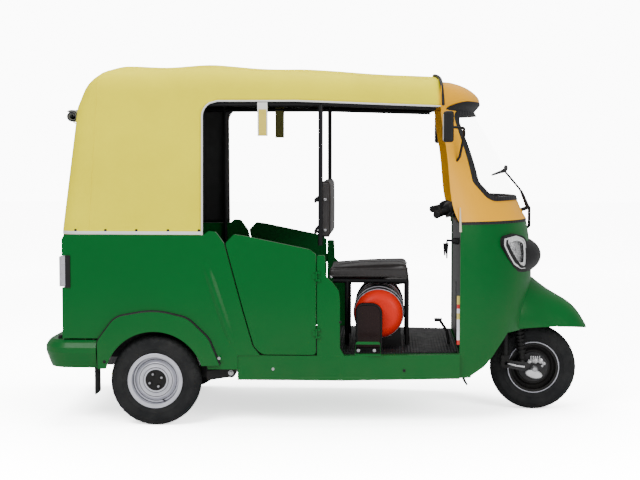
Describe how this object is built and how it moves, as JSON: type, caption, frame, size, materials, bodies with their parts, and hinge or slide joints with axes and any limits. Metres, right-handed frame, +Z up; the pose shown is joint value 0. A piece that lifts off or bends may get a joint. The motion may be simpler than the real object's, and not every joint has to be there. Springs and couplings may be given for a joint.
{
  "type": "auto rickshaw",
  "caption": "Open-sided passenger auto rickshaw on small road wheels, with a canvas hood, bench seats, half doors and handlebar steering.",
  "frame": {"origin": "on the ground, in the middle of the outer box", "axes": "+X forward, +Y to the vehicle's left, +Z up"},
  "size_m": [2.946, 1.4, 1.9339],
  "materials": {
    "green_paint": "gloss",
    "orange_paint": "gloss",
    "black_paint": "satin",
    "canvas_yellow": "woven",
    "black_vinyl": "grained",
    "rubber_black": "matte",
    "tyre_black": "matte",
    "rim_silver": "satin",
    "cast_alloy": "cast",
    "black_plastic": "grained",
    "cylinder_red": "gloss",
    "clear_glass": "clear",
    "lamp_lens": "clear",
    "tail_lens": "clear",
    "curtain_vinyl": "smooth",
    "strap_web": "woven",
    "reflector": "reflective",
    "plate_white": "gloss",
    "cast_iron_grey": "cast",
    "steel": "worn"
  },
  "bodies": {
    "body": {"arch_flares": "green_paint", "b_posts": "green_paint", "body_sides": "green_paint", "brake_pedal": "black_paint", "chassis_frame": "black_paint", "curtain_roll": "curtain_vinyl", "cylinder_cradle": "black_paint", "dashboard": "black_plastic", "driver_backrest": "black_vinyl", "driver_seat": "black_vinyl", "driver_seat_frame": "black_paint", "engine_block": "cast_iron_grey", "engine_deck": "black_paint", "floor_mat": "rubber_black", "floor_pan": "green_paint", "front_cowl": "green_paint", "gas_cylinder": "cylinder_red", "hanging_straps": "strap_web", "head_tube": "black_paint", "headlamp_bezels": "black_plastic", "headlamp_lenses": "lamp_lens", "hood_canopy": "canvas_yellow", "mirrors": "black_plastic", "mud_flaps": "rubber_black", "passenger_backrest": "black_vinyl", "passenger_seat": "black_vinyl", "rear_bumper": "green_paint", "rear_panel": "green_paint", "rear_springs": "black_paint", "reflective_strips": "reflector", "roof_frame": "black_paint", "seals": "rubber_black", "silencer": "steel", "tail_lamp_housings": "black_plastic", "tail_lamp_lenses": "tail_lens", "trailing_arms": "black_paint", "upper_cowl": "orange_paint", "wheelhouses": "black_plastic", "windscreen_glass": "clear_glass", "wiper": "black_plastic"},
    "steering": {"steering_fork": "black_paint", "front_link": "cast_alloy", "front_spring": "black_paint", "handlebar": "black_plastic"},
    "front_wheel": {"front_tyre": "tyre_black", "front_rim": "black_paint"},
    "rear_wheel_right": {"rear_tyre_right": "tyre_black", "rear_rim_right": "rim_silver", "rear_hub_right": "black_paint"},
    "rear_wheel_left": {"rear_tyre_left": "tyre_black", "rear_rim_left": "rim_silver", "rear_hub_left": "black_paint"},
    "door_right": {"door_right": "green_paint"},
    "door_left": {"door_left": "green_paint"},
    "tailgate": {"tailgate": "green_paint", "number_plate": "plate_white"}
  },
  "joints": [
    {"name": "steering_turn", "type": "hinge", "parent": "body", "child": "steering", "pos_m": [1.021, 0, 0.468], "axis": [-0.3922, 0, 0.9199], "range_deg": [-35, 35]},
    {"name": "front_wheel_spin", "type": "hinge", "parent": "steering", "child": "front_wheel", "pos_m": [1.181, 0, 0.24], "axis": [0, 1, 0], "continuous": true},
    {"name": "rear_wheel_right_spin", "type": "hinge", "parent": "body", "child": "rear_wheel_right", "pos_m": [-0.867, -0.555, 0.24], "axis": [0, 1, 0], "continuous": true},
    {"name": "rear_wheel_left_spin", "type": "hinge", "parent": "body", "child": "rear_wheel_left", "pos_m": [-0.867, 0.555, 0.24], "axis": [0, 1, 0], "continuous": true},
    {"name": "door_right_swing", "type": "hinge", "parent": "body", "child": "door_right", "pos_m": [-0.011, -0.623, 0.65], "axis": [0, 0, 1], "range_deg": [0, 70]},
    {"name": "door_left_swing", "type": "hinge", "parent": "body", "child": "door_left", "pos_m": [-0.011, 0.623, 0.65], "axis": [0, 0, -1], "range_deg": [0, 70]},
    {"name": "tailgate_lift", "type": "hinge", "parent": "body", "child": "tailgate", "pos_m": [-1.363, 0, 0.963], "axis": [0, 1, 0], "range_deg": [0, 80]}
  ]
}
